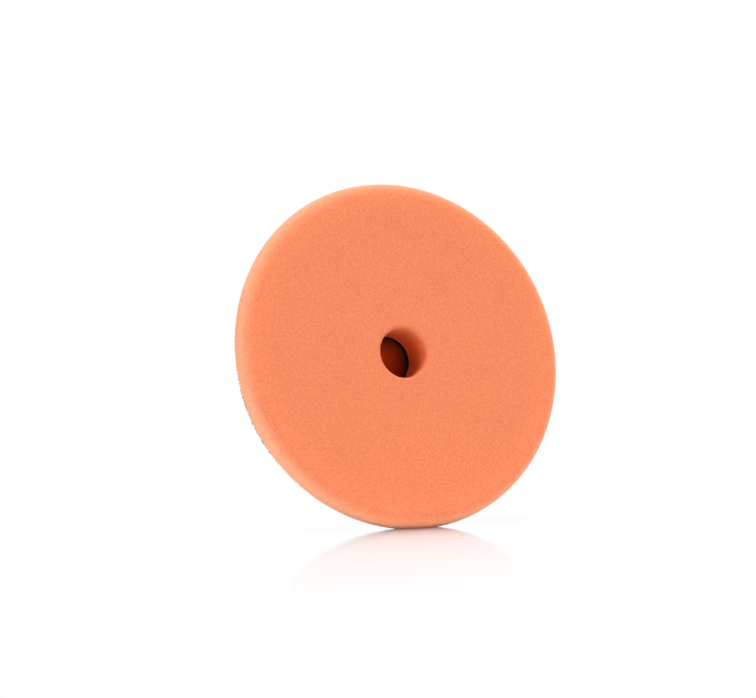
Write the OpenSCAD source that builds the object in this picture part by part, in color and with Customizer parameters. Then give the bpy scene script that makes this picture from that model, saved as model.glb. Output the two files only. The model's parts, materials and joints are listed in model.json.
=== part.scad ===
// Foam polishing pad with a loop backing, a laminate of four round layers.
// The pad stands upright: its spin axis lies along Y, the working face looks along -Y and the loop face along +Y.
// The origin is the centre of the loop face, where the backing plate meets the pad.

/* [Foam disc] */
// Diameter of the foam at its widest
pad_d = 150; // [80:1:180]
// Thickness of the foam
foam_t = 18; // [14:0.5:30]
// How far the side draws in at the backing, on the radius
side_taper = 5; // [1:0.5:8]
// Radius of the rounded working edge
edge_r = 6; // [2:0.5:6.5]

/* [Centre hole] */
// Diameter of the hole through every layer
hole_d = 21.5; // [10:0.5:30]
// Radius of the hole's rounded mouth in the working face
mouth_r = 1.5; // [0.5:0.1:4]

/* [Loop backing] */
// Thickness of the adhesive film between foam and cloth
film_t = 0.3; // [0.2:0.05:0.6]
// Thickness of the knitted ground cloth
cloth_t = 1; // [0.4:0.1:1.5]
// Height of the brushed loops
pile_t = 1.9; // [0.8:0.1:3]
// How far the backing's edge stays inside the foam's back edge
backing_inset = 1.3; // [0.1:0.1:2]

/* [Hidden] */
$fn = 180;

// Turns a layer's own Z, which runs from the loop face to the working face, to the pad's -Y
upright = [90, 0, 0];

// Radii
pad_r = pad_d / 2;
hole_r = hole_d / 2;
back_r = pad_r - side_taper;
backing_r = back_r - backing_inset;

// Heights above the loop face
cloth_z = pile_t;
film_z = cloth_z + cloth_t;
foam_z = film_z + film_t;
face_z = foam_z + foam_t;

// The side is a straight line from the foam's back corner that runs tangent into the rounded working edge
back_corner = [back_r, foam_z];
edge_centre = [pad_r - edge_r, face_z - edge_r];
to_edge = edge_centre - back_corner;
edge_far = norm(to_edge);
side_angle = atan2(to_edge.y, to_edge.x) - asin(edge_r / edge_far);
side_len = sqrt(edge_far * edge_far - edge_r * edge_r);
side_end = back_corner + side_len * [cos(side_angle), sin(side_angle)];

// Half section of the foam, with radius across and height up
module foam_section() {
    mouth_centre = [hole_r + mouth_r, face_z - mouth_r];
    polygon([
        [hole_r, foam_z],
        back_corner,
        side_end,
        edge_centre,
        [edge_centre.x, face_z],
        [mouth_centre.x, face_z],
        mouth_centre,
        [hole_r, mouth_centre.y]
    ]);
    translate(edge_centre) circle(r = edge_r);
    translate(mouth_centre) circle(r = mouth_r);
}

// A flat round layer with the centre hole through it
module ring_layer(low, thickness) {
    rotate(upright)
        translate([0, 0, low])
            rotate_extrude()
                translate([hole_r, 0])
                    square([backing_r - hole_r, thickness]);
}

module foam_disc() {
    color("coral")
        rotate(upright)
            rotate_extrude()
                foam_section();
}

module adhesive_film() {
    color("khaki") ring_layer(film_z, film_t);
}

module backing_cloth() {
    color("midnightblue") ring_layer(cloth_z, cloth_t);
}

module loop_pile() {
    color("darkslategray") ring_layer(0, pile_t);
}

foam_disc();
adhesive_film();
backing_cloth();
loop_pile();
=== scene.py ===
# %% [markdown]
# # A foam polishing pad with a loop backing
# The real pad is a sandwich: a cut disc of open-cell foam, a film of hot-melt glue, a knitted cloth and the
# brushed loops of that cloth, which grip the hooks of a polisher's plate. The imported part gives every
# layer's place and size, in metres, with the spin axis along Y. This file builds what the eye sees around
# it, one layer after another.

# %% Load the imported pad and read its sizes
import json
import math

import bpy
import numpy as np
from mathutils import Matrix, Vector, noise


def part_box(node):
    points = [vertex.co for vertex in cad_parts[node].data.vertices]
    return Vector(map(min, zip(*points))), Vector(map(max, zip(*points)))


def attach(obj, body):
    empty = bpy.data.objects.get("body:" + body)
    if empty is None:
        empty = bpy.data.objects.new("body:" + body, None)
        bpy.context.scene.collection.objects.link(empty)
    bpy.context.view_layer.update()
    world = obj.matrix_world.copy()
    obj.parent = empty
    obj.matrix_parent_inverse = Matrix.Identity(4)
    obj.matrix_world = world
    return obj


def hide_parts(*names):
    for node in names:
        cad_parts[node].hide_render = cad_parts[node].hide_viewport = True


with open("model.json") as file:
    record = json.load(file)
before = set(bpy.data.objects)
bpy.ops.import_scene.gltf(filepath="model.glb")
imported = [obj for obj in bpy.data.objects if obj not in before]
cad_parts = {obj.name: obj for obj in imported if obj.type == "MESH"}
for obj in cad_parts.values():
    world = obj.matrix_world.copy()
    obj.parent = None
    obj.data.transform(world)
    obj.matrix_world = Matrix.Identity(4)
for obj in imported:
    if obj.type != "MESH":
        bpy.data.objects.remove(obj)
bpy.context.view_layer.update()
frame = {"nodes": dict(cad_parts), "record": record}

MM_PER_M = 1000
HAIRLINE = 1e-5

foam_low, foam_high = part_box("foam_disc")
cloth_low, cloth_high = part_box("backing_cloth")
centre_hole = next(m for m in frame["record"]["mounts"] if m["name"] == "centre_hole")

PAD_R = foam_high.x
CLOTH_R = cloth_high.x
HOLE_R = centre_hole["dims"]["r_mm"] / MM_PER_M

# Heights above the loop face, which is at the origin. Up is along -Y, towards the working face.
CLOTH_UP = -cloth_high.y
FILM_UP = -cloth_low.y
FOAM_UP = -foam_high.y
FACE_UP = -foam_low.y

# The hole's straight wall ends where its rounded mouth starts, and the foam is narrower at its back
MOUTH_R = FACE_UP - centre_hole["dims"]["length_mm"] / MM_PER_M
foam_corners = [v.co for v in frame["nodes"]["foam_disc"].data.vertices]
BACK_R = max(math.hypot(c.x, c.z) for c in foam_corners if c.y > foam_high.y - HAIRLINE)

print(f"radii: pad {PAD_R * MM_PER_M:.1f}, its back {BACK_R * MM_PER_M:.1f}, "
      f"cloth {CLOTH_R * MM_PER_M:.1f}, hole {HOLE_R * MM_PER_M:.2f}, mouth {MOUTH_R * MM_PER_M:.1f} mm")
print(f"heights: cloth {CLOTH_UP * MM_PER_M:.1f}, film {FILM_UP * MM_PER_M:.1f}, "
      f"foam {FOAM_UP * MM_PER_M:.1f}, working face {FACE_UP * MM_PER_M:.1f} mm")

# %% [markdown]
# ## The camera
# The pad leans back on its rim, and a long lens looks at it from its left, a little above the floor. The
# part itself stands upright in its own frame, so it is the floor that tilts here: the picture is the same.
# A camera could be turned by hand until the outline fits, but three angles and a distance say the same
# thing in words that can be read.

# %% The leaning floor's directions
LEAN_BACK = math.radians(14.7)

floor_up = Vector((0, -math.sin(LEAN_BACK), math.cos(LEAN_BACK)))
floor_ahead = Vector((0, -math.cos(LEAN_BACK), -math.sin(LEAN_BACK)))
floor_right = Vector((1, 0, 0))


def from_floor(right, ahead, up):
    """A direction or a place given along the floor and up from it."""
    return right * floor_right + ahead * floor_ahead + up * floor_up


print(f"the floor leans by {math.degrees(LEAN_BACK):.1f} degrees under the upright pad")

# %% Place the camera
CAMERA_TO_LEFT = math.radians(25.7)
CAMERA_RISE = math.radians(3.0)
CAMERA_FAR = 1.5
SENSOR_W = 36

# The picture's size, the scale at the working face and the place of its centre, in pixels
IMAGE_W, IMAGE_H = 756, 698
PIXELS_PER_M = 2353
FACE_CENTRE_PX = (404.2, 352.5)

to_camera = from_floor(
    -math.sin(CAMERA_TO_LEFT) * math.cos(CAMERA_RISE),
    math.cos(CAMERA_TO_LEFT) * math.cos(CAMERA_RISE),
    math.sin(CAMERA_RISE),
)
view_right = floor_up.cross(to_camera).normalized()
view_up = to_camera.cross(view_right)

face_centre = Vector((0, -FACE_UP, 0))
off_right = (FACE_CENTRE_PX[0] - IMAGE_W / 2) / PIXELS_PER_M
off_down = (FACE_CENTRE_PX[1] - IMAGE_H / 2) / PIXELS_PER_M
aim = face_centre - off_right * view_right + off_down * view_up

camera_data = bpy.data.cameras.new("pad_camera")
camera_data.sensor_width = SENSOR_W
camera_data.lens = PIXELS_PER_M * CAMERA_FAR * SENSOR_W / IMAGE_W
camera = bpy.data.objects.new("pad_camera", camera_data)
bpy.context.scene.collection.objects.link(camera)
turn = Matrix((view_right, view_up, to_camera)).transposed()
camera.matrix_world = Matrix.Translation(aim + CAMERA_FAR * to_camera) @ turn.to_4x4()
bpy.context.scene.camera = camera
print(f"lens {camera_data.lens:.1f} mm, camera {CAMERA_FAR} m from the face")

# %% [markdown]
# ## Turning an outline into a layer
# Every layer is round, so each one is an outline turned about the spin axis. A plain Screw modifier would
# crowd its points near the hole and stretch them at the rim. Here each outline point becomes a ring with as
# many points as its length needs, and neighbouring rings are zipped together with triangles, so the surface
# is evenly fine everywhere and can carry relief.

# %% Straight and round stretches of an outline
FEWEST_BEND_POINTS = 3


def stretch(start, end, step):
    """Points of a straight stretch of outline, from start up to but not including end."""
    start, end = np.array(start), np.array(end)
    count = max(1, round(float(np.linalg.norm(end - start)) / step))
    return [start + (end - start) * i / count for i in range(count)]


def bend(centre, radius, from_deg, to_deg, step):
    """Points of a round stretch of outline, from one angle up to but not including the other."""
    count = max(FEWEST_BEND_POINTS, round(radius * abs(math.radians(to_deg - from_deg)) / step))
    angles = np.radians(from_deg + (to_deg - from_deg) * np.arange(count) / count)
    return [np.array(centre) + radius * np.array((math.cos(a), math.sin(a))) for a in angles]


print("an outline is made of stretches and bends, as points of radius and height")

# %% Rings and the zip between them
FEWEST_RING_POINTS = 24


def zip_rings(first_a, count_a, first_b, count_b):
    """Triangles between two rings: step along both, and let the one that lags take the next step."""
    triangles = []
    i, j = 0, 0
    while i < count_a or j < count_b:
        a, b = first_a + i % count_a, first_b + j % count_b
        if j == count_b or (i < count_a and (i + 1) / count_a <= (j + 1) / count_b):
            triangles.append((a, b, first_a + (i + 1) % count_a))
            i += 1
        else:
            triangles.append((a, b, first_b + (j + 1) % count_b))
            j += 1
    return triangles


def turned(outline, step):
    """Points, outward normals and triangles of a closed outline turned about the spin axis."""
    outline = np.array(outline)
    along = np.roll(outline, -1, axis=0) - np.roll(outline, 1, axis=0)
    along /= np.linalg.norm(along, axis=1)[:, None]
    points, normals, counts = [], [], []
    for (radius, height), (run, rise) in zip(outline, along):
        count = max(FEWEST_RING_POINTS, round(2 * math.pi * radius / step))
        angle = 2 * math.pi * np.arange(count) / count
        across, up = np.cos(angle), np.sin(angle)
        points.append(np.stack([radius * across, np.full(count, -height), radius * up], axis=1))
        normals.append(np.stack([-rise * across, np.full(count, -run), -rise * up], axis=1))
        counts.append(count)
    firsts = np.concatenate([[0], np.cumsum(counts)]).tolist()
    triangles = []
    for k, count in enumerate(counts):
        after = (k + 1) % len(counts)
        triangles += zip_rings(firsts[k], count, firsts[after], counts[after])
    return np.concatenate(points), np.concatenate(normals), np.array(triangles)


print(f"a ring has at least {FEWEST_RING_POINTS} points")

# %% Points and triangles into a piece
SHARP_DEG = 50


def make_piece(name, points, triangles, material, sharp_deg=SHARP_DEG):
    """A smooth-shaded mesh object from points and triangles, with the faces turned outward."""
    # The box products of the corners add up to six times the volume, less than nothing when inside out
    a, b, c = (points[triangles[:, k]] for k in range(3))
    if (a * np.cross(b, c)).sum() < 0:
        triangles = triangles[:, ::-1]
    mesh = bpy.data.meshes.new(name)
    mesh.from_pydata(points.tolist(), [], triangles.tolist())
    mesh.shade_smooth()
    mesh.set_sharp_from_angle(angle=math.radians(sharp_deg))
    mesh.materials.append(material)
    piece = bpy.data.objects.new(name, mesh)
    bpy.context.scene.collection.objects.link(piece)
    print(f"{name}: {len(points)} points, {len(triangles)} triangles")
    return piece


print(f"edges sharper than {SHARP_DEG} degrees stay crisp")

# %% [markdown]
# ## Finishes that several materials share
# Nothing on the pad is one even colour. Two effects come back in several layers: a fine pattern of cells or
# fibres, and slow blotches from dyeing and handling. Painted pictures could show them, but would blur close
# up. So each is one node group, built once and placed in each material with its own values. A few helpers
# come first. They add a node and feed it in one line, and lay the nodes out in columns at the end.


# %% Helpers that add nodes and feed them
def feed(tree, socket, source):
    """Links another node's output to a socket, or sets the socket to a plain value."""
    if isinstance(source, bpy.types.NodeSocket):
        tree.links.new(source, socket)
    else:
        socket.default_value = source


def add_node(tree, kind, **values):
    """A node of that kind, with its settings and then its inputs given by name."""
    node = tree.nodes.new(kind)
    settings = [key for key in values if hasattr(node, key)]
    for key in settings:
        setattr(node, key, values[key])
    for key, value in values.items():
        if key not in settings:
            feed(tree, node.inputs[key], value)
    return node


def work_out(tree, kind, *sources, **settings):
    """Adds a node, feeds its inputs in their order and gives back its result."""
    node = add_node(tree, kind, **settings)
    open_inputs = [socket for socket in node.inputs if socket.enabled]
    for socket, source in zip(open_inputs, sources):
        feed(tree, socket, source)
    return next(socket for socket in node.outputs if socket.enabled)


print("helpers that feed nodes made")

# %% A helper that lays nodes out
NODE_WIDE = 220
NODE_TALL = 300


def lay_out(tree, name):
    """Puts the nodes in columns, each one left of every node that it feeds."""
    # One pass for each node is enough to push the longest chain apart
    columns = {node.name: 0 for node in tree.nodes}
    for _ in tree.nodes:
        for link in tree.links:
            fed_column = columns[link.to_node.name]
            columns[link.from_node.name] = max(columns[link.from_node.name], fed_column + 1)
    filled = {}
    for node in tree.nodes:
        column = columns[node.name]
        filled[column] = filled.get(column, 0) + 1
        node.location = (-NODE_WIDE * column, -NODE_TALL * filled[column])
    print(f"{name}: {len(tree.nodes)} nodes in {len(filled)} columns")


print(f"columns are {NODE_WIDE} units apart")

# %% Helpers that mix numbers, colours and shaders
WHOLE = (0.0, 1.0)


def number(tree, operation, *sources):
    """The result of a sum on numbers."""
    return work_out(tree, "ShaderNodeMath", *sources, operation=operation)


def triple(tree, operation, *sources):
    """The result of a sum on three numbers at once: a place, a direction or a colour."""
    return work_out(tree, "ShaderNodeVectorMath", *sources, operation=operation)


def ramp(tree, value, span=WHOLE, to=WHOLE):
    """Runs through one range of numbers while a value runs through its own span."""
    return work_out(tree, "ShaderNodeMapRange", value, *span, *to)


def two_colours(tree, first, second, share):
    """A colour between two, by a share from 0 to 1."""
    return work_out(tree, "ShaderNodeMix", share, first, second, data_type="RGBA")


def two_shaders(tree, first, second, share):
    """A shader between two, by a share from 0 to 1."""
    return work_out(tree, "ShaderNodeMixShader", share, first, second)


print("helpers that mix made")


# %% Helpers for materials and groups
def empty_material(name):
    """A node material with nothing in it yet, and its tree."""
    material = bpy.data.materials.new(name)
    material.use_nodes = True
    material.node_tree.nodes.clear()
    return material, material.node_tree


def pad_material(name, surface):
    """A material with one Principled shader, which has the surface's constant values on its own sockets."""
    material, tree = empty_material(name)
    shader = add_node(tree, "ShaderNodeBsdfPrincipled", **surface)
    add_node(tree, "ShaderNodeOutputMaterial", Surface=shader.outputs["BSDF"])
    return material, tree, shader


def new_group(name, amount, mask):
    """A group from a place and an amount per metre to a mask, with its texture feeds and its mask socket."""
    group = bpy.data.node_groups.new(name, "ShaderNodeTree")
    group.interface.new_socket("Vector", in_out="INPUT", socket_type="NodeSocketVector")
    group.interface.new_socket(amount, in_out="INPUT", socket_type="NodeSocketFloat")
    group.interface.new_socket(mask, in_out="OUTPUT", socket_type="NodeSocketFloat")
    enter = add_node(group, "NodeGroupInput")
    leave = add_node(group, "NodeGroupOutput")
    spots = {"Vector": enter.outputs["Vector"], "Scale": enter.outputs[amount]}
    return group, spots, leave.inputs[mask]


def place_group(tree, group, values):
    """The mask from one use of a shared group, which reads the piece's own coordinates."""
    where = add_node(tree, "ShaderNodeTexCoord").outputs["Object"]
    return add_node(tree, "ShaderNodeGroup", node_tree=group, Vector=where, **values).outputs[0]


print("helpers for materials and groups made")

# %% The cell group: walls and hollows of a fine foam or fibre
WALL_SPAN = (0.1, 0.6)
WALL_SHARE = 0.6
GRAIN_SHARE = 0.5
GRAIN_LOOK = {"Detail": 2.0, "Roughness": 0.6}

cell_group, spots, cell_mask = new_group("fine_cells", "Cells per m", "Wall")
cells = add_node(cell_group, "ShaderNodeTexVoronoi", feature="F1", **spots)
grains = add_node(cell_group, "ShaderNodeTexNoise", **GRAIN_LOOK, **spots)
from_middle = cells.outputs["Distance"]
wall = work_out(cell_group, "ShaderNodeMapRange", from_middle, *WALL_SPAN, interpolation_type="SMOOTHSTEP")
grain = number(cell_group, "MULTIPLY", grains.outputs["Fac"], GRAIN_SHARE)
feed(cell_group, cell_mask, number(cell_group, "MULTIPLY_ADD", wall, WALL_SHARE, grain))
lay_out(cell_group, cell_group.name)

# %% The blotch group: slow, faint changes over a wider stretch
BLOTCH_LOOK = {"Detail": 3.0, "Roughness": 0.5}

blotch_group, spots, blotch_mask = new_group("slow_blotches", "Blotches per m", "Blotch")
blotches = add_node(blotch_group, "ShaderNodeTexNoise", **BLOTCH_LOOK, **spots)
feed(blotch_group, blotch_mask, blotches.outputs["Fac"])
lay_out(blotch_group, blotch_group.name)

# %% [markdown]
# ## The foam disc
# The foam is cut from a slab: flat face, rounded working edge, a side that draws in to the backing, and a
# hole with a softly rounded mouth. A bump texture alone would leave the outline glassy smooth. So the
# surface has points every 0.6 mm, a little closer than its cells, and each is lifted or pushed in a little.
# The cells themselves come from the material.
#
# Light goes a little way into the foam: the thin rounded edge looks paler than the face, the face glows a
# little near it, and the hole, where light bounces from orange to orange, looks redder. Light scattered
# inside the foam would do it slowly and with grain, so this light is painted into the colour instead:
# painted light on the side and near the rim, painted shade and orange bounce light down the hole.

# %% Where light and shade are painted into the foam's colour
SIDE_TURN = (-1.0, -0.5)
# The hole's painted shade has this share of its colour at the mouth.
HOLE_PAINTED_SHADE_AT_MOUTH = 0.70
# The painted glow near the rim starts this far inside it and is full this far inside.
GLOW_INSIDE = 0.017
GLOW_FULL = 0.007
ACROSS_SPIN = (1, 0, 1)


def foam_painted_light_zones(tree):
    """Three shares for painted light and shade: turn to the side, depth in the hole, nearness to the rim."""
    where = add_node(tree, "ShaderNodeTexCoord")
    facing = add_node(tree, "ShaderNodeSeparateXYZ", Vector=where.outputs["Normal"]).outputs["Y"]
    along_spin = add_node(tree, "ShaderNodeSeparateXYZ", Vector=where.outputs["Object"]).outputs["Y"]
    radius = triple(tree, "LENGTH", triple(tree, "MULTIPLY", where.outputs["Object"], ACROSS_SPIN))
    # The painted shade down the hole starts above the face, so that it has the mouth's share when it gets
    # there
    middle_y = -(FACE_UP + FOAM_UP) / 2
    start_y = middle_y - (middle_y + FACE_UP) / (1 - HOLE_PAINTED_SHADE_AT_MOUTH)
    inside = ramp(tree, radius, (HOLE_R + MOUTH_R, HOLE_R))
    deep = ramp(tree, along_spin, (start_y, middle_y))
    side = ramp(tree, facing, SIDE_TURN)
    rim = ramp(tree, radius, (PAD_R - GLOW_INSIDE, PAD_R - GLOW_FULL))
    return side, number(tree, "MULTIPLY", inside, deep), rim


# The hole's own colour here is its painted shade and bounce light.
print(f"the hole has {HOLE_PAINTED_SHADE_AT_MOUTH:.0%} of its own colour at its mouth and all of it half way down")

# %% Foam finish
FOAM_WALL = (0.920, 0.275, 0.132, 1)
FOAM_HOLLOW = (0.800, 0.185, 0.066, 1)
# The side's paler colours are painted light.
SIDE_PAINTED_LIGHT_WALL = (0.780, 0.357, 0.213, 1)
SIDE_PAINTED_LIGHT_HOLLOW = (0.680, 0.264, 0.137, 1)
# The hole's redder, darker colours are painted shade and orange bounce light.
HOLE_PAINTED_SHADE_WALL = (0.840, 0.145, 0.028, 1)
HOLE_PAINTED_SHADE_HOLLOW = (0.720, 0.100, 0.014, 1)
FOAM_SURFACE = {
    "Roughness": 0.95,
    "Specular IOR Level": 0.15,
    "Sheen Weight": 0.35,
    "Sheen Roughness": 0.35,
    "Sheen Tint": (1.0, 0.75, 0.55, 1),
}
FOAM_CELLS = {"Cells per m": 1050.0}
FOAM_BLOTCHES = {"Blotches per m": 45.0}
FOAM_BUMP = {"Strength": 0.35, "Distance": 0.0002}
WORN = (0.96, 1.04)
# The face near the rim is painted brighter: a painted glow.
RIM_PAINTED_GLOW = (1.0, 1.06)


def foam_finish():
    """Open-cell foam, worn unevenly: pale walls, deeper hollows, painted light at side and rim, painted
    shade in the hole.
    """
    material, tree, shader = pad_material("open_cell_foam", FOAM_SURFACE)
    cell_wall = place_group(tree, cell_group, FOAM_CELLS)
    blotch = place_group(tree, blotch_group, FOAM_BLOTCHES)
    # The side and the rim get painted light, the hole painted shade and bounce light.
    side, hole, rim = foam_painted_light_zones(tree)
    hollow_tone = two_colours(tree, two_colours(tree, FOAM_HOLLOW, SIDE_PAINTED_LIGHT_HOLLOW, side), HOLE_PAINTED_SHADE_HOLLOW, hole)
    wall_tone = two_colours(tree, two_colours(tree, FOAM_WALL, SIDE_PAINTED_LIGHT_WALL, side), HOLE_PAINTED_SHADE_WALL, hole)
    tone = two_colours(tree, hollow_tone, wall_tone, cell_wall)
    level = number(tree, "MULTIPLY", ramp(tree, blotch, to=WORN), ramp(tree, rim, to=RIM_PAINTED_GLOW))
    feed(tree, shader.inputs["Base Color"], triple(tree, "SCALE", tone, level))
    bump = add_node(tree, "ShaderNodeBump", Height=cell_wall, **FOAM_BUMP)
    feed(tree, shader.inputs["Normal"], bump.outputs["Normal"])
    lay_out(tree, material.name)
    return material


open_cell_foam = foam_finish()

# %% Foam outline
# The record doesn't name the working edge's radius, so it is written here
EDGE_R = 0.006
FOAM_STEP = 0.0006
HIDDEN_STEP = 0.004

edge_centre = np.array((PAD_R - EDGE_R, FACE_UP - EDGE_R))
mouth_centre = np.array((HOLE_R + MOUTH_R, FACE_UP - MOUTH_R))
back_corner = np.array((BACK_R, FOAM_UP))

# The side is a straight line from the back corner that runs tangent into the rounded edge
to_edge = edge_centre - back_corner
edge_far = float(np.linalg.norm(to_edge))
side_deg = math.degrees(math.atan2(to_edge[1], to_edge[0]) - math.asin(EDGE_R / edge_far))
side_end_deg = side_deg - 90
side_end_turn = math.radians(side_end_deg)
side_end = edge_centre + EDGE_R * np.array((math.cos(side_end_turn), math.sin(side_end_turn)))

foam_outline = (
    stretch((HOLE_R, FOAM_UP), (HOLE_R, mouth_centre[1]), FOAM_STEP)
    + bend(mouth_centre, MOUTH_R, 180, 90, FOAM_STEP)
    + stretch((mouth_centre[0], FACE_UP), (edge_centre[0], FACE_UP), FOAM_STEP)
    + bend(edge_centre, EDGE_R, 90, side_end_deg, FOAM_STEP)
    + stretch(side_end, back_corner, FOAM_STEP)
    + stretch(back_corner, (HOLE_R, FOAM_UP), HIDDEN_STEP)
)
print(f"foam outline of {len(foam_outline)} points, its side at {side_deg:.1f} degrees to the face")

# %% Foam relief
FOAM_SEED = 11
CELL_LIFT = 0.00003
CELL_PIT = 0.00012
PIT_SHARE = 0.12
SLAB_WAVE = 0.00008
SLAB_WAVES_PER_M = 40


def foam_relief(points, normals):
    """Lifts and pits each point along its normal, and leaves the glued back flat."""
    rng = np.random.default_rng(FOAM_SEED)
    lift = rng.normal(0, CELL_LIFT, len(points))
    pitted = rng.random(len(points)) < PIT_SHARE
    lift -= np.where(pitted, CELL_PIT * rng.random(len(points)), 0)
    lift += [SLAB_WAVE * noise.noise(Vector(p) * SLAB_WAVES_PER_M) for p in points]
    glued = -points[:, 1] < FOAM_UP + FOAM_STEP / 2
    return points + normals * np.where(glued, 0, lift)[:, None]


foam_points, foam_normals, foam_triangles = turned(foam_outline, FOAM_STEP)
foam_points = foam_relief(foam_points, foam_normals)
foam = make_piece("foam_pad", foam_points, foam_triangles, open_cell_foam)
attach(foam, "root")
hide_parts("foam_disc")

# %% [markdown]
# ## The adhesive film
# A hot-melt film bonds the cloth to the foam. Only its edge shows, as a thin line at the rim and in the
# hole, where the press has squeezed it into a slightly wavy bead. A flat ring would give a ruled line, so
# the bead's edge wanders.

# %% Adhesive finish
FILM_DARK = (0.16, 0.075, 0.035, 1)
FILM_PALE = (0.34, 0.17, 0.085, 1)
FILM_SURFACE = {"Specular IOR Level": 0.45}
FILM_BLOTCHES = {"Blotches per m": 500.0}
FILM_ROUGH = (0.35, 0.6)


def adhesive_finish():
    """Set glue between a dark and a pale tone, duller where it is paler."""
    material, tree, shader = pad_material("hot_melt_film", FILM_SURFACE)
    blotch = place_group(tree, blotch_group, FILM_BLOTCHES)
    feed(tree, shader.inputs["Base Color"], two_colours(tree, FILM_DARK, FILM_PALE, blotch))
    feed(tree, shader.inputs["Roughness"], ramp(tree, blotch, to=FILM_ROUGH))
    lay_out(tree, material.name)
    return material


hot_melt_film = adhesive_finish()

# %% The film and its bead
FILM_STEP = 0.0008
BEAD_STEPS = 3
BEAD_WANDER = 0.00018
BEADS_PER_M = 260

film_thick = FOAM_UP - FILM_UP
film_middle = (FOAM_UP + FILM_UP) / 2
bead_r = film_thick / 2
bead_step = film_thick / BEAD_STEPS
film_outline = (
    stretch((CLOTH_R - film_thick, FILM_UP), (HOLE_R + film_thick, FILM_UP), HIDDEN_STEP)
    + bend((HOLE_R + bead_r, film_middle), bead_r, 270, 90, bead_step)
    + stretch((HOLE_R + film_thick, FOAM_UP), (CLOTH_R - film_thick, FOAM_UP), HIDDEN_STEP)
    + bend((CLOTH_R - bead_r, film_middle), bead_r, 90, -90, bead_step)
)
film_points, film_normals, film_triangles = turned(film_outline, FILM_STEP)
wander = np.array([noise.noise(Vector((p[0], 0, p[2])) * BEADS_PER_M) for p in film_points])
film_points[:, (0, 2)] += film_normals[:, (0, 2)] * (BEAD_WANDER * wander)[:, None]
film = make_piece("adhesive_bead", film_points, film_triangles, hot_melt_film)
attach(film, "root")
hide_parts("adhesive_film")

# %% [markdown]
# ## The backing cloth
# Under the loops lies a warp-knitted ground cloth. Its stitches stand in straight columns, called wales.
# They could be a picture on a flat ring, but near the rim they catch the light, so the columns are ribs in
# the mesh, and the material adds the yarn. The die that cuts the cloth leaves no ruled line, so both edges
# wander a little. The mat and the loops are of such dyed yarn too, so one function makes all three
# finishes.

# %% Yarn finish
YARN_SURFACE = {
    "Specular IOR Level": 0.05,
    "Sheen Roughness": 0.4,
    "Sheen Tint": (0.55, 0.62, 0.75, 1),
}
YARN_BLOTCHES = {"Blotches per m": 160.0}
YARN_BUMP = {"Strength": 0.4, "Distance": 0.0001}
YARN_ROUGH = (0.65, 0.9)
BRUSHED_SPAN = (0.22, 0.72)


def yarn_finish(name, dark, pale, fibres_per_m, sheen):
    """Dyed yarn: fibres between a dark and a pale tone, in slow blotches, dull and a little furry."""
    material, tree, shader = pad_material(name, {**YARN_SURFACE, "Sheen Weight": sheen})
    fibre = place_group(tree, cell_group, {"Cells per m": fibres_per_m})
    blotch = place_group(tree, blotch_group, YARN_BLOTCHES)
    paleness = number(tree, "MULTIPLY", fibre, ramp(tree, blotch, BRUSHED_SPAN))
    feed(tree, shader.inputs["Base Color"], two_colours(tree, dark, pale, paleness))
    feed(tree, shader.inputs["Roughness"], ramp(tree, blotch, to=YARN_ROUGH))
    bump = add_node(tree, "ShaderNodeBump", Height=fibre, **YARN_BUMP)
    feed(tree, shader.inputs["Normal"], bump.outputs["Normal"])
    lay_out(tree, material.name)
    return material


CLOTH_DARK = (0.006, 0.008, 0.014, 1)
CLOTH_PALE = (0.024, 0.032, 0.053, 1)
CLOTH_FIBRES_PER_M = 4000.0
CLOTH_SHEEN = 0.1
ground_yarn = yarn_finish("ground_yarn", CLOTH_DARK, CLOTH_PALE, CLOTH_FIBRES_PER_M, CLOTH_SHEEN)

# %% The ribbed cloth
WALE = 0.0015
COURSE = 0.0016
COURSE_SHARE = 0.5
RIB_RISE = 0.00012
CLOTH_STEP = 0.0009
CUT_STEP = CLOTH_STEP / 3
CUT_WANDER = 0.00015
CUTS_PER_M = 500

cloth_outline = (
    stretch((CLOTH_R, CLOTH_UP), (HOLE_R, CLOTH_UP), CLOTH_STEP)
    + stretch((HOLE_R, CLOTH_UP), (HOLE_R, FILM_UP), CUT_STEP)
    + stretch((HOLE_R, FILM_UP), (CLOTH_R, FILM_UP), HIDDEN_STEP)
    + stretch((CLOTH_R, FILM_UP), (CLOTH_R, CLOTH_UP), CUT_STEP)
)
cloth_points, cloth_normals, cloth_triangles = turned(cloth_outline, CLOTH_STEP)
on_loop_side = -cloth_points[:, 1] < CLOTH_UP + HAIRLINE
wales = np.abs(np.sin(math.pi * cloth_points[:, 0] / WALE))
courses = np.sin(2 * math.pi * cloth_points[:, 2] / COURSE)
ribs = (wales + COURSE_SHARE * courses) / (1 + COURSE_SHARE)
cloth_points[:, 1] -= np.where(on_loop_side, RIB_RISE * (1 - ribs), 0)
wander = np.array([noise.noise(Vector(p) * CUTS_PER_M) for p in cloth_points])
cloth_points[:, (0, 2)] += cloth_normals[:, (0, 2)] * (CUT_WANDER * wander)[:, None]
cloth = make_piece("knitted_cloth", cloth_points, cloth_triangles, ground_yarn)
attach(cloth, "root")
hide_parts("backing_cloth")

# %% [markdown]
# ## The loop pile
# The loops are what the hooks of the plate grip. Low down, the brushed yarn lies in a dense tangled mat,
# and out of it stand the loops, pushed every way by the brush. Hair particles would do, but loops made as
# real tubes go into the mesh that is kept. The mat is a ring with a lumpy skin, knitted a little way into
# the cloth. It stands higher at the rim, where the cut frees the yarn.

# %% The tangled mat
MAT_SHARE = 0.8
MAT_RIM_SHARE = 0.94
MAT_BANK = 0.002
MAT_STEP = 0.0007
MAT_EDGE_STEP = MAT_STEP / 2
MAT_LUMP = 0.00022
MAT_RIM_INSET = MAT_LUMP / 4
MAT_LUMPS_PER_M = 1100
MAT_SINK = 0.0003
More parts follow.
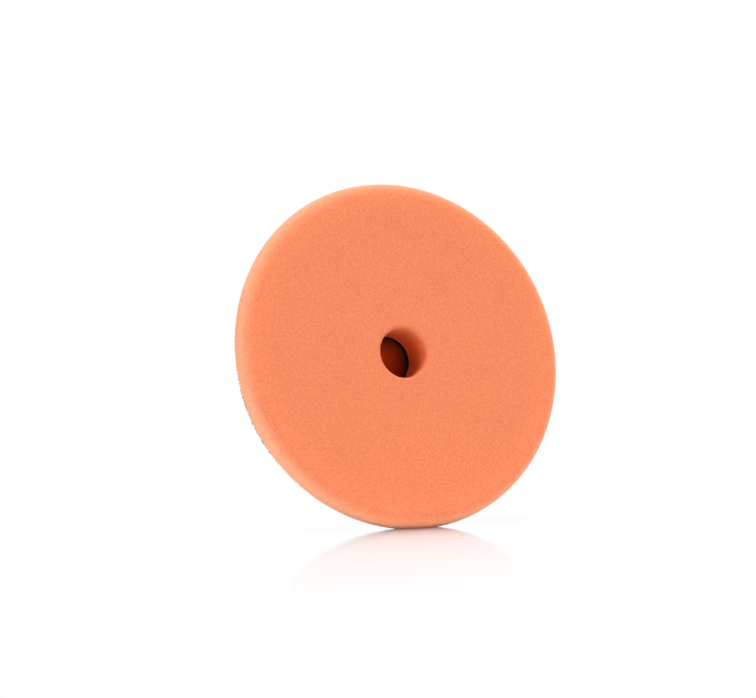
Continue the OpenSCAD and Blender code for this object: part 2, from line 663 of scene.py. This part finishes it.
# The mat is the same yarn as the loops, painted darker as shade under the loops.
MAT_DARK_PAINTED_SHADE = (0.005, 0.006, 0.010, 1)
MAT_PALE_PAINTED_SHADE = (0.024, 0.031, 0.049, 1)
MAT_FIBRES_PER_M = 3000.0
MAT_SHEEN = 0.0
ALL_SMOOTH_DEG = 180

mat_up = CLOTH_UP * (1 - MAT_SHARE)
mat_rim_up = CLOTH_UP * (1 - MAT_RIM_SHARE)
mat_root = CLOTH_UP + MAT_SINK
mat_r = CLOTH_R - MAT_RIM_INSET
mat_hole_r = HOLE_R + MAT_LUMP
mat_outline = (
    stretch((mat_r, mat_rim_up), (mat_r - MAT_BANK, mat_up), MAT_STEP)
    + stretch((mat_r - MAT_BANK, mat_up), (mat_hole_r, mat_up), MAT_STEP)
    + stretch((mat_hole_r, mat_up), (mat_hole_r, mat_root), MAT_EDGE_STEP)
    + stretch((mat_hole_r, mat_root), (mat_r, mat_root), HIDDEN_STEP)
    + stretch((mat_r, mat_root), (mat_r, mat_rim_up), MAT_EDGE_STEP)
)
mat_points, mat_normals, mat_triangles = turned(mat_outline, MAT_STEP)
lumps = np.array([noise.noise(Vector(p) * MAT_LUMPS_PER_M) for p in mat_points])
above_cloth = -mat_points[:, 1] < CLOTH_UP
mat_points += mat_normals * np.where(above_cloth, MAT_LUMP * lumps, 0)[:, None]
mat_yarn_painted_shade = yarn_finish("mat_yarn_painted_shade", MAT_DARK_PAINTED_SHADE, MAT_PALE_PAINTED_SHADE, MAT_FIBRES_PER_M, MAT_SHEEN)
mat = make_piece("tangled_mat", mat_points, mat_triangles, mat_yarn_painted_shade, ALL_SMOOTH_DEG)
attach(mat, "root")
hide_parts("loop_pile")

# %% [markdown]
# Each loop is an arch of a few rings that stands with both feet in the mat. Its foot width, height,
# heading and lean are drawn at random from a fixed seed. Along the two cut edges the loops stand close, in
# rows that follow the edge. Round the rim some loops have come loose and stick out sideways, which is why a
# cut cloth never looks like rubber.

# %% Where the loops stand
YARN_R = (0.00008, 0.00013)
EDGE_BAND = 0.0008
EDGE_SPACING = 0.0004
EDGE_JITTER = 0.4
EDGE_TURN = 0.25
FIELD_JITTER = 0.35
FIELD_TURN = 0.7
LOOP_SEED = 23


def edge_feet(rng, radius, inward):
    """Feet of loops along a cut edge, close together and a little inside it, and their headings."""
    count = round(2 * math.pi * radius / EDGE_SPACING)
    angle = 2 * math.pi * (np.arange(count) + rng.uniform(-EDGE_JITTER, EDGE_JITTER, count)) / count
    radius = radius + inward * rng.uniform(YARN_R[1], EDGE_BAND / 2, count)
    feet = np.stack([radius * np.cos(angle), radius * np.sin(angle)], axis=1)
    return feet, angle + math.pi / 2 + rng.normal(0, EDGE_TURN, count)


def loop_feet(rng):
    """Feet and headings of the standing loops: a jittered grid, and close rows along both cut edges."""
    reach = CLOTH_R - YARN_R[1]
    across = np.arange(-reach, reach, WALE)
    along = np.arange(-reach, reach, COURSE)
    grid = np.stack(np.meshgrid(across, along), axis=-1).reshape(-1, 2)
    grid = grid + rng.uniform(-FIELD_JITTER, FIELD_JITTER, grid.shape) * (WALE, COURSE)
    radius = np.linalg.norm(grid, axis=1)
    field = grid[(radius < reach) & (radius > HOLE_R + YARN_R[1])]
    rim, rim_heading = edge_feet(rng, CLOTH_R, -1)
    hole, hole_heading = edge_feet(rng, HOLE_R, 1)
    heading = rng.normal(math.pi / 2, FIELD_TURN, len(field))
    return np.concatenate([field, rim, hole]), np.concatenate([heading, rim_heading, hole_heading])


loop_rng = np.random.default_rng(LOOP_SEED)
feet, headings = loop_feet(loop_rng)
print(f"{len(feet)} standing loops")

# %% The loops' centre lines
LOOP_RINGS = 5
FOOT_WIDTH = (0.0008, 0.0016)
FOOT_SINK = 0.0003
LOOP_SHARE = (0.65, 1.0)
LEAN_SPREAD = 0.0004
EDGE_CALM = 0.6
EDGE_LEAN = 0.0001
HOLE_LEAN_SHARE = 0.6
ARCH_BULGE = 0.5
ARCH_POWER = 0.7
LOOSE_SPACING = 0.00045
LOOSE_TALL = (0.00025, 0.00055)

loop_tall = mat_up + FOOT_SINK


def loop_paths(feet, heading, rng):
    """The centre line of every standing loop, as places across the cloth and heights above the loop face."""
    count = len(feet)
    share = np.linspace(0, 1, LOOP_RINGS)[None, :, None]
    run = np.stack([np.cos(heading), np.sin(heading)], axis=1)[:, None, :]
    width = rng.uniform(*FOOT_WIDTH, (count, 1, 1))
    tall = loop_tall * rng.uniform(*LOOP_SHARE, (count, 1))
    radius = np.linalg.norm(feet, axis=1)
    outward = feet / radius[:, None]
    near_rim = np.clip(1 - (CLOTH_R - radius) / EDGE_BAND, 0, 1)
    near_hole = np.clip(1 - (radius - HOLE_R) / EDGE_BAND, 0, 1)
    lean = rng.normal(0, LEAN_SPREAD, (count, 2)) * (1 - EDGE_CALM * near_rim)[:, None]
    lean += outward * (EDGE_LEAN * (near_rim - HOLE_LEAN_SHARE * near_hole))[:, None]
    arch = np.sin(math.pi * share)
    span = run * width * (share - 0.5) * (1 + ARCH_BULGE * arch)
    flat = feet[:, None, :] + span + lean[:, None, :] * arch
    up = tall * arch[:, :, 0] ** ARCH_POWER
    return np.concatenate([flat, (loop_tall - up)[:, :, None]], axis=2)


def loose_paths(rng):
    """The centre lines, in the same form, of loops that stick out sideways from the rim."""
    count = round(2 * math.pi * CLOTH_R / LOOSE_SPACING)
    share = np.linspace(0, 1, LOOP_RINGS)[None, :]
    heading = rng.uniform(0, math.pi, (count, 1))
    width = rng.uniform(*FOOT_WIDTH, (count, 1)) * (share - 0.5)
    out = rng.uniform(*LOOSE_TALL, (count, 1)) * np.sin(math.pi * share)
    angle = rng.uniform(0, 2 * math.pi, (count, 1)) + width * np.cos(heading) / CLOTH_R
    radius = CLOTH_R - FOOT_SINK + out
    up = rng.uniform(mat_up, FILM_UP, (count, 1)) + width * np.sin(heading)
    return np.stack([radius * np.cos(angle), radius * np.sin(angle), np.clip(up, mat_up, FILM_UP)], axis=2)


paths = np.concatenate([loop_paths(feet, headings, loop_rng), loose_paths(loop_rng)])
print(f"{len(paths)} loops with the loose ones")

# %% Yarn round the centre lines
LOOP_SIDES = 3


def loop_tubes(paths, rng):
    """Points and triangles of thin three-sided tubes round the centre lines, in the pad's frame."""
    lines = np.stack([paths[:, :, 0], -paths[:, :, 2], paths[:, :, 1]], axis=2)
    along = np.gradient(lines, axis=1)
    along /= np.linalg.norm(along, axis=2, keepdims=True)
    chord = lines[:, -1:] - lines[:, :1]
    side = np.cross(chord, lines[:, LOOP_RINGS // 2, None] - lines[:, :1])
    side = side - (side * along).sum(axis=2, keepdims=True) * along
    side /= np.linalg.norm(side, axis=2, keepdims=True)
    other = np.cross(along, side)
    thick = rng.uniform(*YARN_R, (len(lines), 1, 1))
    rings = []
    for k in range(LOOP_SIDES):
        a = 2 * math.pi * k / LOOP_SIDES
        rings.append(lines + thick * (math.cos(a) * side + math.sin(a) * other))
    points = np.stack(rings, axis=2).reshape(-1, 3)
    triangles = []
    for ring in range(LOOP_RINGS - 1):
        for k in range(LOOP_SIDES):
            after = (k + 1) % LOOP_SIDES
            low, high = ring * LOOP_SIDES, (ring + 1) * LOOP_SIDES
            triangles += [(low + k, low + after, high + after), (low + k, high + after, high + k)]
    each = np.arange(len(lines))[:, None, None] * (LOOP_RINGS * LOOP_SIDES)
    return points, (np.array(triangles)[None] + each).reshape(-1, 3)


loop_points, loop_triangles = loop_tubes(paths, loop_rng)
print(f"{LOOP_RINGS * LOOP_SIDES} points to a loop")

# %% Knit the loops into the cloth
LOOP_DARK = (0.016, 0.021, 0.033, 1)
LOOP_PALE = (0.064, 0.082, 0.124, 1)
LOOP_FIBRES_PER_M = 2500.0
LOOP_SHEEN = 0.06

loop_yarn = yarn_finish("loop_yarn", LOOP_DARK, LOOP_PALE, LOOP_FIBRES_PER_M, LOOP_SHEEN)
loops = make_piece("brushed_loops", loop_points, loop_triangles, loop_yarn, ALL_SMOOTH_DEG)
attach(loops, "root")
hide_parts("loop_pile")

# %% [markdown]
# ## The studio
# The pad stands on a white polished floor in even light. A white floor lit until it clips would also throw
# too much light on the pad, so this floor is white to the camera by its own colour, and keeps a soft shadow
# and a blurred mirror image that is strong where the rim touches it and soon fades. The floor has only a
# top: a camera that looks from low behind, where the floor rises, looks through it.


# %% What the eye sees, and from which side
def seen_by_eye(tree):
    """One for rays that carry the picture: straight, mirrored or through glass."""
    path = add_node(tree, "ShaderNodeLightPath").outputs
    direct_or_mirrored = number(tree, "MAXIMUM", path["Is Camera Ray"], path["Is Glossy Ray"])
    return number(tree, "MAXIMUM", direct_or_mirrored, path["Is Transmission Ray"])


def show_front_only(tree, shader):
    """Wires a shader to the output so that it shows on a surface's front, and from behind isn't there."""
    behind = add_node(tree, "ShaderNodeNewGeometry").outputs["Backfacing"]
    gone = add_node(tree, "ShaderNodeBsdfTransparent").outputs["BSDF"]
    add_node(tree, "ShaderNodeOutputMaterial", Surface=two_shaders(tree, shader, gone, behind))


print("helpers for the stage made")

# %% How the floor fades
FADE_REACH = 0.30
ALONG_RIM = 0.5


def fading(tree, distance, strength, power):
    """A strength that is full at the pad and fades to nothing at the reach, sooner with a higher power."""
    left = ramp(tree, distance, (0.0, FADE_REACH), (1.0, 0.0))
    return number(tree, "MULTIPLY", number(tree, "POWER", left, power), strength)


def from_contact(tree, contact):
    """Two distances: from where the pad stands, shortened along the rim, and from the line under it."""
    where = add_node(tree, "ShaderNodeTexCoord").outputs["Object"]
    apart = triple(tree, "SUBTRACT", where, contact)
    squeezed = triple(tree, "MULTIPLY", apart, (ALONG_RIM, 1, 1))
    off_line = number(tree, "ABSOLUTE", triple(tree, "DOT_PRODUCT", apart, floor_ahead))
    return triple(tree, "LENGTH", squeezed), off_line


print(f"shade and mirror image end {FADE_REACH * MM_PER_M:.0f} mm from the pad")

# %% Floor finish
WHITE = (1, 1, 1, 1)
FLOOR_WHITE = (0.92, 0.92, 0.92, 1)
FLOOR_BLUR = 0.08
SHADE_NEAR = 0.08
SHADE_POWER = 2.5
MIRROR_TOUCH = 0.68
TOUCH_POWER = 14.0
MIRROR_NEAR = 0.32
NEAR_POWER = 2.6


def floor_finish(contact):
    """White to the eye, shaded near the pad, with a mirror image that fades away from it."""
    material, tree = empty_material("white_floor")
    distance, off_line = from_contact(tree, contact)
    eye = seen_by_eye(tree)
    lit = add_node(tree, "ShaderNodeBsdfDiffuse", Color=FLOOR_WHITE).outputs["BSDF"]
    own = add_node(tree, "ShaderNodeEmission", Color=WHITE, Strength=1.0).outputs["Emission"]
    mirror = add_node(tree, "ShaderNodeBsdfGlossy", Color=WHITE, Roughness=FLOOR_BLUR).outputs["BSDF"]
    unshaded = number(tree, "SUBTRACT", 1.0, fading(tree, distance, SHADE_NEAR, SHADE_POWER))
    white = two_shaders(tree, lit, own, number(tree, "MULTIPLY", eye, unshaded))
    touch = fading(tree, distance, MIRROR_TOUCH, TOUCH_POWER)
    near = fading(tree, off_line, MIRROR_NEAR, NEAR_POWER)
    mirrored = number(tree, "MULTIPLY", number(tree, "ADD", touch, near), eye)
    show_front_only(tree, two_shaders(tree, white, mirror, mirrored))
    lay_out(tree, material.name)
    return material


lowest = foam_points[(foam_points @ np.array(floor_up)).argmin()]
white_floor = floor_finish(tuple(lowest))

# %% Lay the floor
SINK = 0.0006
FLOOR_HALF = 6.0

# The floor's corners, in half sides to the right and ahead
FLOOR_CORNERS = ((-1, -1), (-1, 1), (1, 1), (1, -1))


def stage_face(name, places, material):
    """One flat face of the studio between its corners' places, which isn't part of the pad."""
    mesh = bpy.data.meshes.new(name)
    mesh.from_pydata(places, [], [tuple(range(len(places)))])
    mesh.materials.append(material)
    face = bpy.data.objects.new(name, mesh)
    bpy.context.scene.collection.objects.link(face)
    return face


floor_level = float(lowest @ np.array(floor_up)) + SINK
floor_places = [
    from_floor(FLOOR_HALF * right, FLOOR_HALF * ahead, floor_level)
    for right, ahead in FLOOR_CORNERS
]
floor = stage_face("floor", floor_places, white_floor)
print(f"floor {-floor_level * MM_PER_M:.1f} mm below the origin, the pad {SINK * MM_PER_M:.1f} mm into it")

# %% [markdown]
# The hole goes right through, and with nothing behind it the white backdrop would shine through and light
# its wall from the back. Photographers hang a small dark card, a flag, behind such a hole. Like the floor,
# this one has only a front. Its colour holds painted shade: it darkens to the right, away from the lamp at
# the left, and at the top, as if in the shade of the hole's wall.

# %% The flag behind the hole
FLAG_OVERLAP = 0.0007
FLAG_POINTS = 48
# The card's tones are painted light and painted shade, mixed by the two ramps below.
FLAG_PAINTED_LIT = (0.72, 0.105, 0.014, 1)
FLAG_PAINTED_SHADE = (0.105, 0.015, 0.003, 1)
FLAG_SHADE_RIGHT = (HOLE_R, 0.0)
FLAG_SHADE_TOP = (0.0108, 0.0033)


def flag_finish():
    """A dull card with painted shade: pale at the lower left and dark to the right and at the top."""
    material, tree = empty_material("dark_flag")
    where = add_node(tree, "ShaderNodeTexCoord").outputs["Object"]
    axes = add_node(tree, "ShaderNodeSeparateXYZ", Vector=where).outputs
    from_right = ramp(tree, axes["X"], FLAG_SHADE_RIGHT)
    from_top = ramp(tree, axes["Z"], FLAG_SHADE_TOP)
    tone = two_colours(tree, FLAG_PAINTED_SHADE, FLAG_PAINTED_LIT, number(tree, "MULTIPLY", from_right, from_top))
    show_front_only(tree, add_node(tree, "ShaderNodeBsdfDiffuse", Color=tone).outputs["BSDF"])
    lay_out(tree, material.name)
    return material


flag_r = HOLE_R + FLAG_OVERLAP
flag_angles = 2 * math.pi * np.arange(FLAG_POINTS) / FLAG_POINTS
flag_places = [(flag_r * math.cos(a), 0.0, flag_r * math.sin(a)) for a in flag_angles]
flag = stage_face("hole_flag", flag_places, flag_finish())
print("flag faces", tuple(round(c) for c in flag.data.polygons[0].normal))

# %% [markdown]
# The world gives an even fill, and is white to the camera. The lamps are large softboxes, so that the face
# is lit evenly and no shadow is hard. The strongest hangs above, and those at the left and the right skim
# past the face, so that the rim shines. A weak one in front reaches into the hole, and a small one close
# behind the pad lights the loops and can reach nothing else of it. All are at a plain level: the foam comes
# out about as its colours are written.

# %% World
WORLD_LIGHT = 0.22

world = bpy.data.worlds.new("white_studio")
bpy.context.scene.world = world
world.use_nodes = True
tree = world.node_tree
tree.nodes.clear()
fill = add_node(tree, "ShaderNodeBackground", Color=WHITE, Strength=WORLD_LIGHT).outputs["Background"]
white = add_node(tree, "ShaderNodeBackground", Color=WHITE, Strength=1.0).outputs["Background"]
add_node(tree, "ShaderNodeOutputWorld", Surface=two_shaders(tree, fill, white, seen_by_eye(tree)))
lay_out(tree, world.name)

# %% Lamps
# Each lamp's place is to the right of the face's centre, towards the camera and up, in metres
LAMPS = {
    "left_softbox": {"at": (-0.95, 0.70, 0.10), "size": 0.7, "watts": 7.2},
    "right_softbox": {"at": (1.20, -0.30, 0.40), "size": 0.8, "watts": 7.0},
    "top_softbox": {"at": (0.05, 0.00, 1.30), "size": 0.8, "watts": 18.3},
    "low_softbox": {"at": (-0.10, 1.30, -0.02), "size": 0.5, "watts": 1.7},
    "loop_softbox": {"at": (-0.075, -0.158, -0.036), "size": 0.05, "watts": 0.14},
}

for name, lamp in LAMPS.items():
    data = bpy.data.lights.new(name, "AREA")
    data.shape = "DISK"
    data.size = lamp["size"]
    data.energy = lamp["watts"]
    softbox = bpy.data.objects.new(name, data)
    bpy.context.scene.collection.objects.link(softbox)
    right, ahead, up = lamp["at"]
    softbox.location = face_centre + right * view_right + ahead * to_camera + up * view_up
    softbox.rotation_mode = "QUATERNION"
    softbox.rotation_quaternion = (face_centre - softbox.location).to_track_quat("-Z", "Y")
    print(f"{name}: {lamp['watts']} W")

# %% [markdown]
# ## Finishing
# The picture keeps its colours as they are written, so the view is the plain one.

# %% View
bpy.context.scene.view_settings.view_transform = "Standard"
